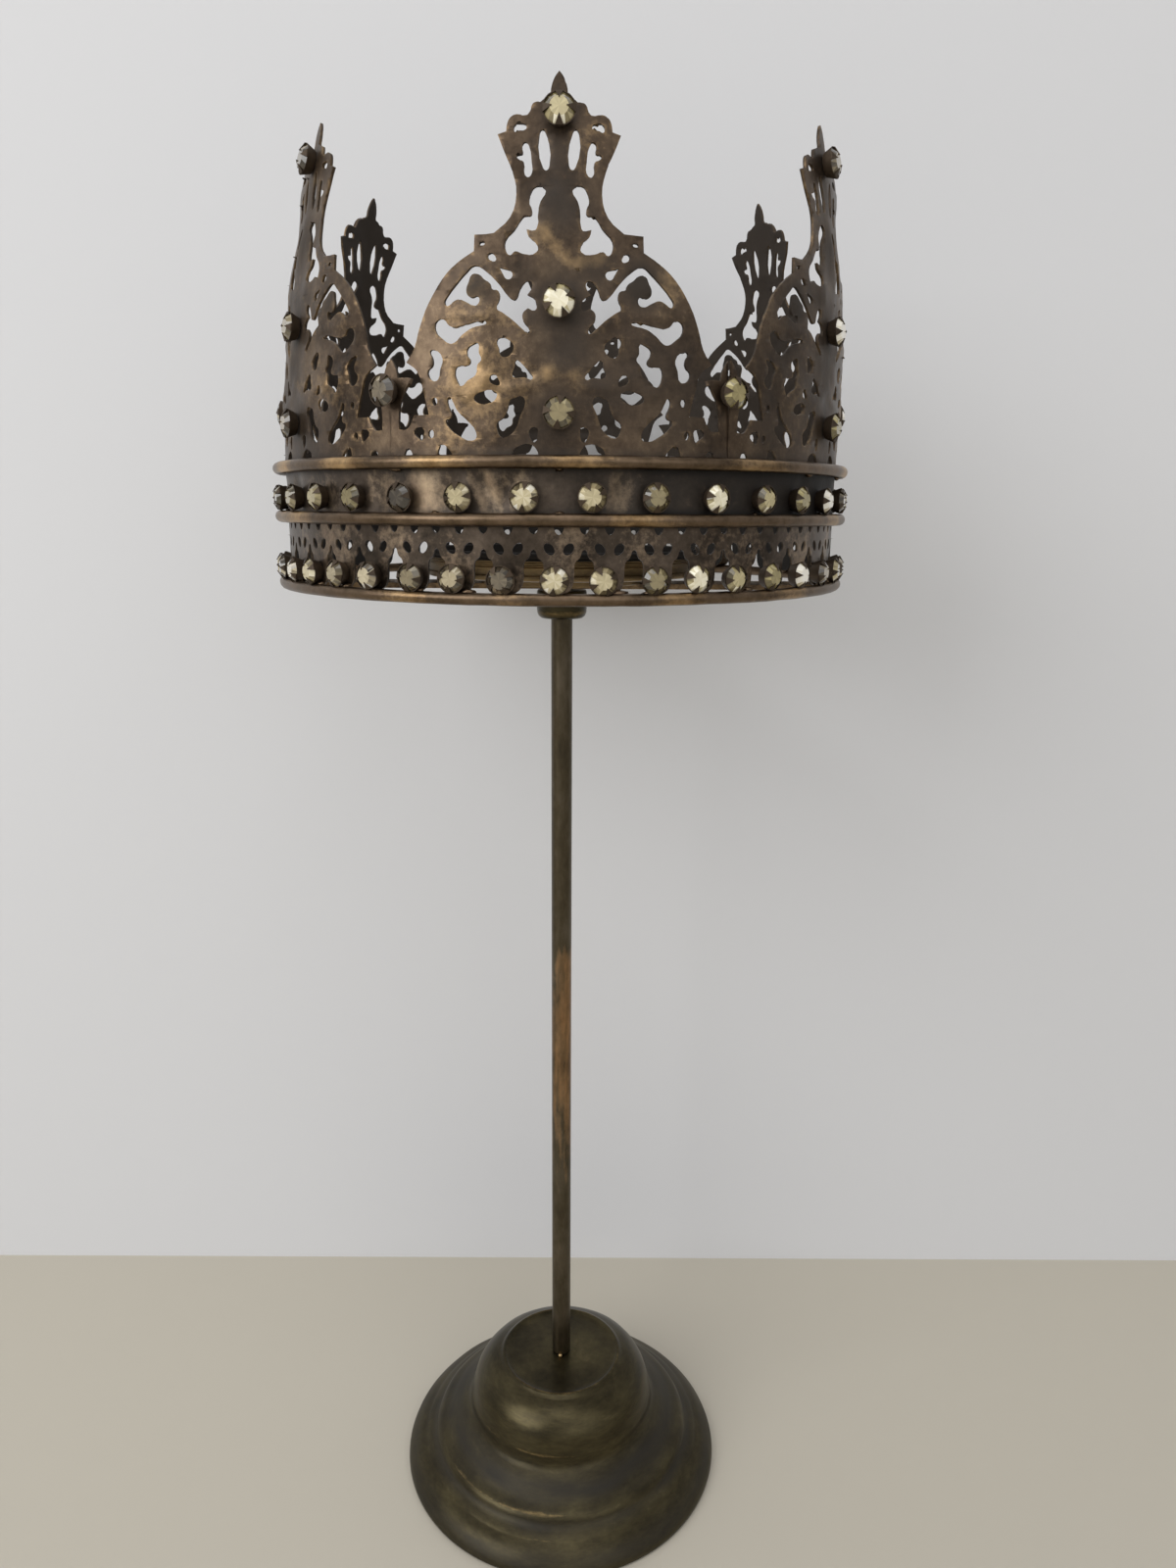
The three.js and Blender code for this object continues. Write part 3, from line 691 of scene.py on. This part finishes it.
# A stone: a tapered cup with four pointed claws, and a round glass cut with a table and 32 facets.
# It is modelled lying face up at the origin, and copied to each place.
def makeStone(diameter, depth):
    cut = stoneCut
    radius = diameter / 2 * mm
    high = depth * mm
    deselectAll()
    bpy.ops.mesh.primitive_cone_add(vertices=18, radius1=radius * cut["cupFoot"],
                                    radius2=radius * cut["cupRim"], depth=high * cut["cupHigh"],
                                    location=(0, 0, high * cut["cupHigh"] / 2))
    cup = bpy.context.object
    bpy.ops.object.transform_apply()
    bpy.ops.object.mode_set(mode="EDIT")
    bpy.ops.mesh.select_all(action="DESELECT")
    leaveEdit()
    for face in cup.data.polygons:
        face.select = face.normal.z > 0.9
    bpy.ops.object.mode_set(mode="EDIT")
    bpy.ops.mesh.inset(thickness=radius * cut["lip"], depth=0)
    bpy.ops.mesh.extrude_region_move(TRANSFORM_OT_translate={"value": (0, 0, -high * cut["seatDeep"])})
    leaveEdit()
    claws = []
    for i in range(4):
        deselectAll()
        bpy.ops.mesh.primitive_cylinder_add(vertices=3, radius=1, depth=1)
        claw = bpy.context.object
        for vertex in claw.data.vertices:
            reach, over = vertex.co.y, vertex.co.x
            inward = (1 - reach) / 1.5  # 0 at the claw's point and 1 at its foot
            lift = high * (cut["clawHigh"] - 0.3 * inward) + radius * cut["clawThick"] * vertex.co.z
            out = radius * (cut["clawPoint"] + cut["clawLength"] * inward)
            vertex.co = (over * radius * cut["clawWide"], out, lift)
        claw.data.flip_normals()
        claw.data.transform(turned(90 * i))
        claws.append(claw)
    cup = joinAll([cup, *claws], "stoneCup")
    weld(cup, 0.000001, outward=True)
    smooth(cup, 25)
    deselectAll()
    bpy.ops.mesh.primitive_cone_add(vertices=16, radius1=radius * cut["girdle"],
                                    radius2=radius * cut["table"], depth=high * cut["gemHigh"],
                                    end_fill_type="TRIFAN", location=(0, 0, high * cut["gemMiddle"]))
    gem = bpy.context.object
    bpy.ops.object.transform_apply()
    for vertex in gem.data.vertices:
        if vertex.co.z > high * 0.8 and math.hypot(vertex.co.x, vertex.co.y) > radius * 0.1:
            vertex.co = Matrix.Rotation(math.pi / 16, 3, "Z") @ vertex.co  # half a side's turn
    editAll()
    bpy.ops.mesh.quads_convert_to_tris()
    bpy.ops.mesh.normals_make_consistent(inside=False)
    leaveEdit()
    return cup, gem


# Every stone flashes in its own way, in painted reflections and glints: each copy has its own
# brightness and tint, and each facet its own share of them
def paintFacets(gem, seed):
    layer = newLayer(gem, "facet", "FACE")
    tints = newLayer(gem, "tint", "FACE")
    level = 0.45 + 0.8 * noiseAt(seed * 2.3, 4.1, 0.6)
    tintLevel = clamp(0.45 + 1.4 * noiseAt(seed * 3.1, 8.8, 1.6))
    spin = Matrix.Rotation(seed * 1.7, 3, "Z")
    middle = sum((vertex.co for vertex in gem.data.vertices), Vector()) / len(gem.data.vertices)
    for face, value in zip(gem.data.polygons, layer.data):
        toFace = spin @ (face.center - middle)
        sector = round(math.atan2(toFace.y, toFace.x) / (math.pi / 3))
        onTable = face.normal.z > 0.99
        # Painted glints: each facet's own flash, and a steady one on the table
        flash = 0.14 if onTable else 0.85 * noiseAt(seed * 5.7, sector * 1.9, 2.3) - 0.08
        fine = noiseAt(seed * 9.1, face.index * 2.9, 7.7)
        value.value = clamp(level + flash + (0.12 if onTable else 0.35) * fine)
        tints.data[face.index].value = tintLevel


# A set of stones at places of angle in degrees, radius and height in mm, and lean in radians
def makeStones(name, size, places, nodes=()):
    cup, gem = makeStone(*size)
    firstSeed = len(name)  # so that no two sets flash alike
    cups, gems = [], []
    for seed, (angle, radius, height, lean) in enumerate(places):
        spin = turned(noiseAt(seed * 3.3, 0.7, 1.1) * 60)
        face = Matrix.Rotation(math.pi / 2 - lean, 4, "X")
        where = outAt(angle, radius, height)
        cups.append(placedCopy(cup, where @ face @ spin))
        stone = placedCopy(gem, Matrix.Identity(4))
        paintFacets(stone, seed + firstSeed)
        stone.data.transform(where @ face @ spin)
        gems.append(stone)
    bpy.data.objects.remove(cup)
    bpy.data.objects.remove(gem)
    allCups = joinAll(cups, name + "Cups")
    allGems = joinAll(gems, name + "Glass")
    paint(allCups, "rubAndHighlight", lambda co: 0.1)
    paint(allCups, "tarnishAndShade", lambda co: 0.6)
    finishPiece(allCups, wireBrass, "wire_brass")
    finishPiece(allGems, stoneGlass, "stone_glass", *nodes)


# Diameters and depths of the stones in mm, and the heights of the gallery's as shares of the lobe's or
# the fleuron's own height
rowSize, gallerySize = (8.6, 4.8), (9.2, 4.4)
lobeShares, fleuronShare = (0.128, 0.411, 0.887), 0.68


def onGallery(index, angle, height):
    share = height / lobeHeight
    radius = sheetRadius - sheetLean * share ** 2 + lobeShift[index] * share + 0.25
    lean = math.atan((2 * sheetLean * share - lobeShift[index]) / lobeHeight)
    return (angle, radius, topWireZ + height, lean)


lobePlaces = [onGallery(i, 60 * i, share * lobeHeight) for i in range(6) for share in lobeShares]
lobeNodes = [f"stone_lobe_{i}_{level}" for i in range(1, 7) for level in ("low", "middle", "top")]
fleuronHeight = fleuronShare * fleuronTall * lobeHeight / patternTall
fleuronPlaces = [onGallery(3, 60 * i + 30, fleuronHeight) for i in range(6)]
makeStones("lobeStones", gallerySize, lobePlaces, lobeNodes)
makeStones("fleuronStones", gallerySize, fleuronPlaces, [f"stone_fleuron_{i}" for i in range(1, 7)])


# The rows' stones were set by eye, so each is a little off its even place. Slip is where some of them
# sit further round: the angle there, its reach and how far, all in degrees.
def rowPlaces(count, turn, height, slip):
    jitter = [noiseAt(i * 3.7, height, 0) for i in range(count)]
    middle, reach, furthest = slip
    angles = [turn + 360 * i / count for i in range(count)]
    angles = [angle + furthest * bump(turnBetween(angle, middle), reach) for angle in angles]
    return [(angles[i] + 0.8 * jitter[i], sheetRadius - 0.15, height + 0.35 * jitter[-i], 0)
            for i in range(count)]


makeStones("upperRow", rowSize, rowPlaces(34, -4.5, middleWireZ + 6.1, (-30, 34, -2)))
makeStones("lowerRow", rowSize, rowPlaces(lappetCount, -0.6, bottomWireZ + 5, (38, 22, -2.4)))


# The wire rings, each with the slight waves of a hand-bent ring, and more or less bare of patina
wireLook = {"segments": 240, "sides": 14, "wave": 0.18, "gap": 0.3}


def makeWire(name, node, diameter, height, bare):
    middle = sheetRadius + wireLook["gap"] + diameter / 2
    deselectAll()
    bpy.ops.mesh.primitive_torus_add(major_segments=wireLook["segments"], minor_segments=wireLook["sides"],
                                     major_radius=middle * mm, minor_radius=diameter / 2 * mm,
                                     location=(0, 0, height * mm))
    wire = bpy.context.object
    bpy.ops.object.transform_apply()
    wire.name = wire.data.name = name
    rubAndHighlight = newLayer(wire, "rubAndHighlight")
    for vertex, bareAmount in zip(wire.data.vertices, rubAndHighlight.data):
        angle = math.atan2(vertex.co.x, -vertex.co.y)
        around = Vector((math.cos(angle) * 3, math.sin(angle) * 3, height / 10))
        out = (math.hypot(vertex.co.x, vertex.co.y) / mm - middle) / (diameter / 2)
        up = (vertex.co.z / mm - height) / (diameter / 2)
        # The outermost line is rubbed bare and carries a painted highlight
        line = bump(out - 0.7, 0.5) * (1 if abs(up) < 0.8 else 0.4)
        bareAmount.value = bare + 0.3 * line + 1.1 * noise.noise(around * 1.3) * (0.4 + 0.6 * line)
        swell = 0.95 - 0.05 * noise.noise(around * 6)
        radius = middle + out * swell * diameter / 2 - wireLook["wave"] * (0.5 + 0.5 * noise.noise(around))
        sway = noise.noise(around * 1.3 + Vector((9, 0, 0)))
        vertex.co = onRing(angle, radius, height + up * swell * diameter / 2 + 0.1 * sway)
    smooth(wire, 80)
    finishPiece(wire, wireBrass, "wire_brass", node)


makeWire("bottomWireRing", "bottom_wire", 3.8, bottomWireZ - 0.4, -0.1)
makeWire("middleWireRing", "middle_wire", 4, middleWireZ, 0.12)
makeWire("topWireRing", "top_wire", 4, topWireZ, 0.15)


# Solder where each lappet meets the bottom wire, and dabs between the wires and the bands, as angle
# in degrees and then height, radius and size in mm
def makeSolder():
    blobs = []
    dabs = [(360 * i / lappetCount + 1.5 * math.sin(i * 2.1), bottomWireZ + 1.3, 96.4, 1.5)
            for i in range(lappetCount)]
    dabs += [(40 * i + 13 * math.sin(i * 1.7), topWireZ - 1.7, 96.2, 1.2) for i in range(9)]
    dabs += [(33 * i + 9 * math.sin(i * 2.7), middleWireZ + 1.6, 96.1, 1.1) for i in range(11)]
    for i, (angle, height, radius, size) in enumerate(dabs):
        deselectAll()
        bpy.ops.mesh.primitive_ico_sphere_add(subdivisions=2, radius=size * mm)
        blob = bpy.context.object
        for vertex in blob.data.vertices:
            vertex.co *= 1 + 0.35 * noise.noise(vertex.co / mm + Vector((i * 4, 0, 0)))
            vertex.co.x *= 1.5 + 0.5 * math.sin(i * 1.3)
            vertex.co.z *= 0.75
        blob.data.transform(outAt(angle, radius, height))
        blobs.append(blob)
    solder = joinAll(blobs, "solderDabs")
    paint(solder, "rubAndHighlight", lambda co: 0.1)
    smooth(solder, 80)
    finishPiece(solder, wireBrass, "wire_brass")


makeSolder()


# The spun foot, with painted highlights on its ridges, strongest at its front left where the light falls
footLook = {"segments": 160, "wall": 1.0, "dent": 0.25, "highlightAngle": -22, "highlightReach": 38}
# Half the foot's section, from its rim up: soft steps that the spinning tool left, and a bead at the top
footProfile = [
    (66.2, 0), (67.4, 0.1), (67.9, 0.7), (67.8, 1.8), (67.1, 3.6), (65.8, 5.6), (64, 7.3), (62.2, 8.4),
    (60.8, 9), (60, 9.5), (59.3, 10.1), (57.8, 10.8), (56.6, 11.5), (55.7, 12.4), (55.2, 13.4),
    (54.7, 14.4), (53.8, 15.3), (52.5, 16), (51, 16.6), (49.4, 17.7), (47.5, 19.3), (45.5, 21),
    (43.8, 22.4), (42.3, 23.3), (41.2, 24.2), (40.4, 25.4), (40, 26.8), (39.9, 28.2), (39.7, 29.6),
    (39.3, 30.8), (39, 32), (38.6, 33.8), (37.8, 36.4), (36.4, 39.1), (34.5, 41.6), (32, 43.8),
    (29.5, 45.3), (27.6, 46.1), (26.8, 46.5), (26.1, 47.2), (25.4, 47.7), (24.8, 47.6), (24.2, 47.1),
    (23.4, 46.8), (22, 46.75), (17, 46.9), (12, 47.1), (7, 47.3), (3, 47.5), (0, 47.6),
]
# Small worn places on the dished top, as x, y, reach and strength
footTopSpots = [(-6, -20, 3.5, 1), (20, -6, 3, 1), (-14, 6, 3, 1)]


def makeFoot():
    foot = turnedShape("spunFoot", footProfile, footLook["segments"])
    weld(foot, 0.0002, outward=True)
    rubAndHighlight = newLayer(foot, "rubAndHighlight")
    tarnishAndShade = newLayer(foot, "tarnishAndShade")
    for vertex, bareAmount, dark in zip(foot.data.vertices, rubAndHighlight.data, tarnishAndShade.data):
        x, y, height = vertex.co.x / mm, vertex.co.y / mm, vertex.co.z / mm
        radius = math.hypot(vertex.co.x, vertex.co.y) / mm
        angle = math.degrees(math.atan2(vertex.co.x, -vertex.co.y))
        # Painted highlights on the ridges, strongest at the front left where the light falls
        litSide = 0.35 + 0.65 * bump(turnBetween(angle, footLook["highlightAngle"]), footLook["highlightReach"])
        rims = max(litSide * bump(height - 15.2, 0.8), litSide * bump(height - 30, 0.9),
                   0.75 * bump(radius - 25.2, 0.7) * (height > 40),
                   0.7 * litSide * bump(height - 9.4, 0.5), 0.5 * bump(height - 0.6, 1.2))
        streak = noiseAt(x / 18, y / 18, height / 2.2)
        top = spots(x, y, footTopSpots)
        bareAmount.value = 0.75 * rims + 0.45 * streak + 0.5 * top * (height > 46)
        # Painted shade on the slopes between the steps, which dulls their reflections
        slopes = max(bump(height - 20, 3.5), 0.8 * bump(height - 4.5, 3), 0.8 * bump(height - 12, 1.5))
        dark.value = slopes * (0.7 + 0.5 * streak)
        if 1 < radius < 66:
            dent = footLook["dent"] * noiseAt(x / 16, y / 16, height / 14)
            vertex.co.x *= 1 - (0.25 + dent) / radius
            vertex.co.y *= 1 - (0.25 + dent) / radius
    addModifier(foot, "SOLIDIFY", thickness=footLook["wall"] * mm, offset=-1)
    smooth(foot, 50)
    finishPiece(foot, footBrass, "dark_brass", "foot")


makeFoot()


# The rod, worn coppery over part of its length, with one bright bead at its foot, fully bare: a painted glint
rodLook = {"low": 48.3, "high": 379.8, "radius": 3.95, "endRadius": 3.6, "steps": 90, "beadRadius": 0.9}


def makeRod():
    low, high, end, steps = rodLook["low"], rodLook["high"], rodLook["endRadius"], rodLook["steps"]
    side = [(rodLook["radius"], low + (high - low) * i / steps) for i in range(steps + 1)]
    rod = turnedShape("brassRod", [(0, low), (end, low), *side, (end, high), (0, high)], 40)
    weld(rod, 0.0002, outward=True)
    rubAndHighlight = newLayer(rod, "rubAndHighlight")
    for vertex, bareAmount in zip(rod.data.vertices, rubAndHighlight.data):
        x, y, height = vertex.co.x / mm, vertex.co.y / mm, vertex.co.z / mm
        bareLevel = clamp((height - 120) / 60) * clamp((242 - height) / 8)
        bareLevel *= 0.75 + 0.25 * vertex.co.x / mm / 4
        bareAmount.value = 0.6 * bareLevel + 0.3 * noiseAt(x, y / 3, height / 18)
    smooth(rod, 50)
    deselectAll()
    # A bright bead, fully bare, that stands in for a glint: a painted highlight
    bpy.ops.mesh.primitive_uv_sphere_add(segments=12, ring_count=8, radius=rodLook["beadRadius"] * mm,
                                         location=(-0.4 * mm, -4.4 * mm, 48.2 * mm))
    bead = bpy.context.object
    bpy.ops.object.transform_apply()
    bead.name = bead.data.name = "rodGlintBead"
    paint(bead, "rubAndHighlight", lambda co: 1)
    smooth(bead, 80)
    finishPiece(bead, discBrass, "rod_brass")
    finishPiece(rod, rodBrass, "rod_brass", "rod")


makeRod()


# The collar's section in mm: a rounded foot, a plain side and a bore round the rod
collarProfile = [
    (4.4, 369.6), (6, 369.4), (7.6, 369.6), (8.6, 370.4), (9.1, 371.6), (9.2, 373), (9.2, 378.6),
    (9.1, 379.3), (8.8, 379.75), (4.4, 379.75), (4.35, 374),
]


def makeCollar():
    collar = turnedShape("rodCollar", collarProfile, 64)
    weld(collar, 0.00002, outward=True)
    paint(collar, "rubAndHighlight", lambda co: 0.3 + 0.4 * bump(co.z / mm - 371.5, 1.2))
    smooth(collar, 40)
    finishPiece(collar, footBrass, "dark_brass", "collar")


makeCollar()


# The flat strap across the bottom ring, with slightly uneven sides and rounded ends
strapLook = {"length": 194.6, "width": 19.6, "thickness": 1.9, "middle": 381.7, "edgeRound": 0.3}


def makeStrap():
    deselectAll()
    bpy.ops.mesh.primitive_cube_add(size=1, location=(0, 0, strapLook["middle"] * mm))
    strap = bpy.context.object
    strap.scale = (strapLook["length"] * mm, strapLook["width"] * mm, strapLook["thickness"] * mm)
    bpy.ops.object.transform_apply()
    strap.name = strap.data.name = "crossStrap"
    editAll()
    bpy.ops.mesh.subdivide(number_cuts=24)
    leaveEdit()
    for vertex in strap.data.vertices:
        x, y = vertex.co.x / mm, vertex.co.y / mm
        vertex.co.y *= 1 - 0.02 * abs(noiseAt(x / 20, 0, 3))
        if abs(x) > 93:
            vertex.co.x *= 1 - 0.012 * (y / 9.8) ** 2
    paint(strap, "rubAndHighlight", lambda co: 0.35 + 0.35 * noise.noise(co / mm / 12))
    addModifier(strap, "BEVEL", width=strapLook["edgeRound"] * mm, segments=2, limit_method="ANGLE")
    smooth(strap, 40)
    finishPiece(strap, sheetBrass, "crown_brass", "cross_strap")


makeStrap()


# The disc's section in mm: a neck and a grooved side below its turned lines, a rim and a dished top
# above them
discBelow = [
    (0, 382.5), (29.5, 382.5), (29.8, 382.8), (29.8, 385.4), (48, 385.5), (48.8, 385.8), (48.95, 386.6),
    (48.8, 387.2), (48.1, 387.6), (47.9, 388.4), (48, 389.8),
]
discAbove = [
    (48.9, 393.1), (48.95, 394), (48.6, 394.6), (47.8, 394.9), (47, 394.5), (46.4, 392), (45.6, 389),
    (44, 387.6), (20, 387.2), (0, 387.1),
]
discLook = {
    "lines": 3, "firstLine": 390.2, "lineStep": 0.9,
    "rimDark": 0.3922, "dishDark": 0.387, "dishReach": 0.0472,
}


# The disc's rim and its dished top are painted black, above heights and inside a reach in m: painted shade
# inside the crown
def discPaintedShade(co):
    inDish = co.z > discLook["dishDark"] and math.hypot(co.x, co.y) < discLook["dishReach"]
    return 1 if co.z > discLook["rimDark"] or inDish else 0


def makeDisc():
    profile = list(discBelow)
    for i in range(discLook["lines"]):  # the fine lines that the turning tool left
        line = discLook["firstLine"] + discLook["lineStep"] * i
        profile += [(48.6, line), (48.9, line + 0.2), (48.9, line + 0.5), (48.55, line + 0.7)]
    disc = turnedShape("clampDisc", [*profile, *discAbove], 128)
    weld(disc, 0.0001, outward=True)
    paint(disc, "rubAndHighlight", lambda co: 0.35 + 0.5 * bump(co.z / mm - 393.8, 1) + 0.4 * noise.noise(co / mm / 9))
    # Painted shade on the disc's rim and dished top
    paint(disc, "tarnishAndShade", discPaintedShade)
    smooth(disc, 40)
    finishPiece(disc, discBrass, "disc_brass", "clamp_disc")


makeDisc()


def plainFinish(name, colour, roughness):
    material, shader = newMaterial(name)
    shader.inputs["Base Color"].default_value = hexColour(colour)
    shader.inputs["Roughness"].default_value = roughness
    return material


# The table and the wall are clear from behind, so that the crown can be seen from every side
def openBehind(material):
    shader = material.node_tree.nodes["Principled BSDF"]
    facing = addNode(material, "ShaderNodeNewGeometry")
    clear = addNode(material, "ShaderNodeBsdfTransparent")
    mixed = addNode(material, "ShaderNodeMixShader",
                    links={0: (facing, "Backfacing"), 1: (shader, "BSDF"), 2: (clear, "BSDF")})
    surface = material.node_tree.nodes["Material Output"].inputs["Surface"]
    material.node_tree.links.new(mixed.outputs["Shader"], surface)
    return material


# The set: a cream table, a pale wall close behind, and soft light from the left. Each light has its
# place and the point that it is aimed at, its size in m and its power in W.
setLook = {
    "wallY": 0.1227, "wallTurn": -0.74, "wallMiddle": 1.2, "wallSize": (6, 2.6, 1),
    "tableZ": -0.0003, "tableSize": (4, 4, 1), "table": "#c4beb0", "tableRough": 0.45,
    "wall": "#dddee1", "wallRough": 0.8, "room": "#e8e6e4", "roomStrength": 0.54,
}
setLights = [
    ("windowLight", (-1.5, -1.3, 1.25), (0, 0.05, 0.3), 1.5, 23),
    ("roomLight", (0.7, -1.6, 1.2), (0.2, 0.05, 0.3), 1.6, 6),
    ("ceilingLight", (-0.1, -0.9, 2.3), (0, 0.05, 0.3), 1.3, 7),
]


def makeSet():
    deselectAll()
    bpy.ops.mesh.primitive_plane_add(size=1, location=(0, 0, setLook["tableZ"]))
    table = bpy.context.object
    table.name = "tableTop"
    table.scale = setLook["tableSize"]
    coat = plainFinish("paintedTable", setLook["table"], setLook["tableRough"])
    table.data.materials.append(openBehind(coat))
    bpy.ops.mesh.primitive_plane_add(size=1, location=(0, setLook["wallY"], setLook["wallMiddle"]),
                                     rotation=(math.pi / 2, 0, math.radians(setLook["wallTurn"])))
    wall = bpy.context.object
    wall.name = "plasterWall"
    wall.scale = setLook["wallSize"]
    plaster = plainFinish("paintedPlaster", setLook["wall"], setLook["wallRough"])
    wall.data.materials.append(openBehind(plaster))
    for name, place, aim, size, power in setLights:
        light = bpy.data.lights.new(name, "AREA")
        light.size, light.energy = size, power
        lamp = bpy.data.objects.new(name, light)
        lamp.location = place
        lamp.rotation_euler = (Vector(aim) - Vector(place)).to_track_quat("-Z", "Y").to_euler()
        bpy.context.collection.objects.link(lamp)
    world = bpy.data.worlds.new("paleRoom")
    world.use_nodes = True
    background = world.node_tree.nodes["Background"]
    background.inputs["Color"].default_value = hexColour(setLook["room"])
    background.inputs["Strength"].default_value = setLook["roomStrength"]
    bpy.context.scene.world = world
    bpy.context.scene.view_settings.view_transform = "Standard"


makeSet()


# The camera, fitted to the rings and the foot in the photograph, with its turns in degrees
cameraLook = {"place": (0.0035, -0.4072, 0.4093), "down": 14.24, "roll": 0.39, "turn": -0.933, "lens": 25.05}


def makeCamera():
    data = bpy.data.cameras.new("photoCamera")
    data.lens = cameraLook["lens"]
    data.sensor_width = 36
    data.clip_start = 0.01
    camera = bpy.data.objects.new("photoCamera", data)
    turn = turned(cameraLook["turn"]) @ turned(90 - cameraLook["down"], "X") @ turned(cameraLook["roll"])
    camera.matrix_world = Matrix.Translation(cameraLook["place"]) @ turn
    bpy.context.collection.objects.link(camera)
    bpy.context.scene.camera = camera


makeCamera()
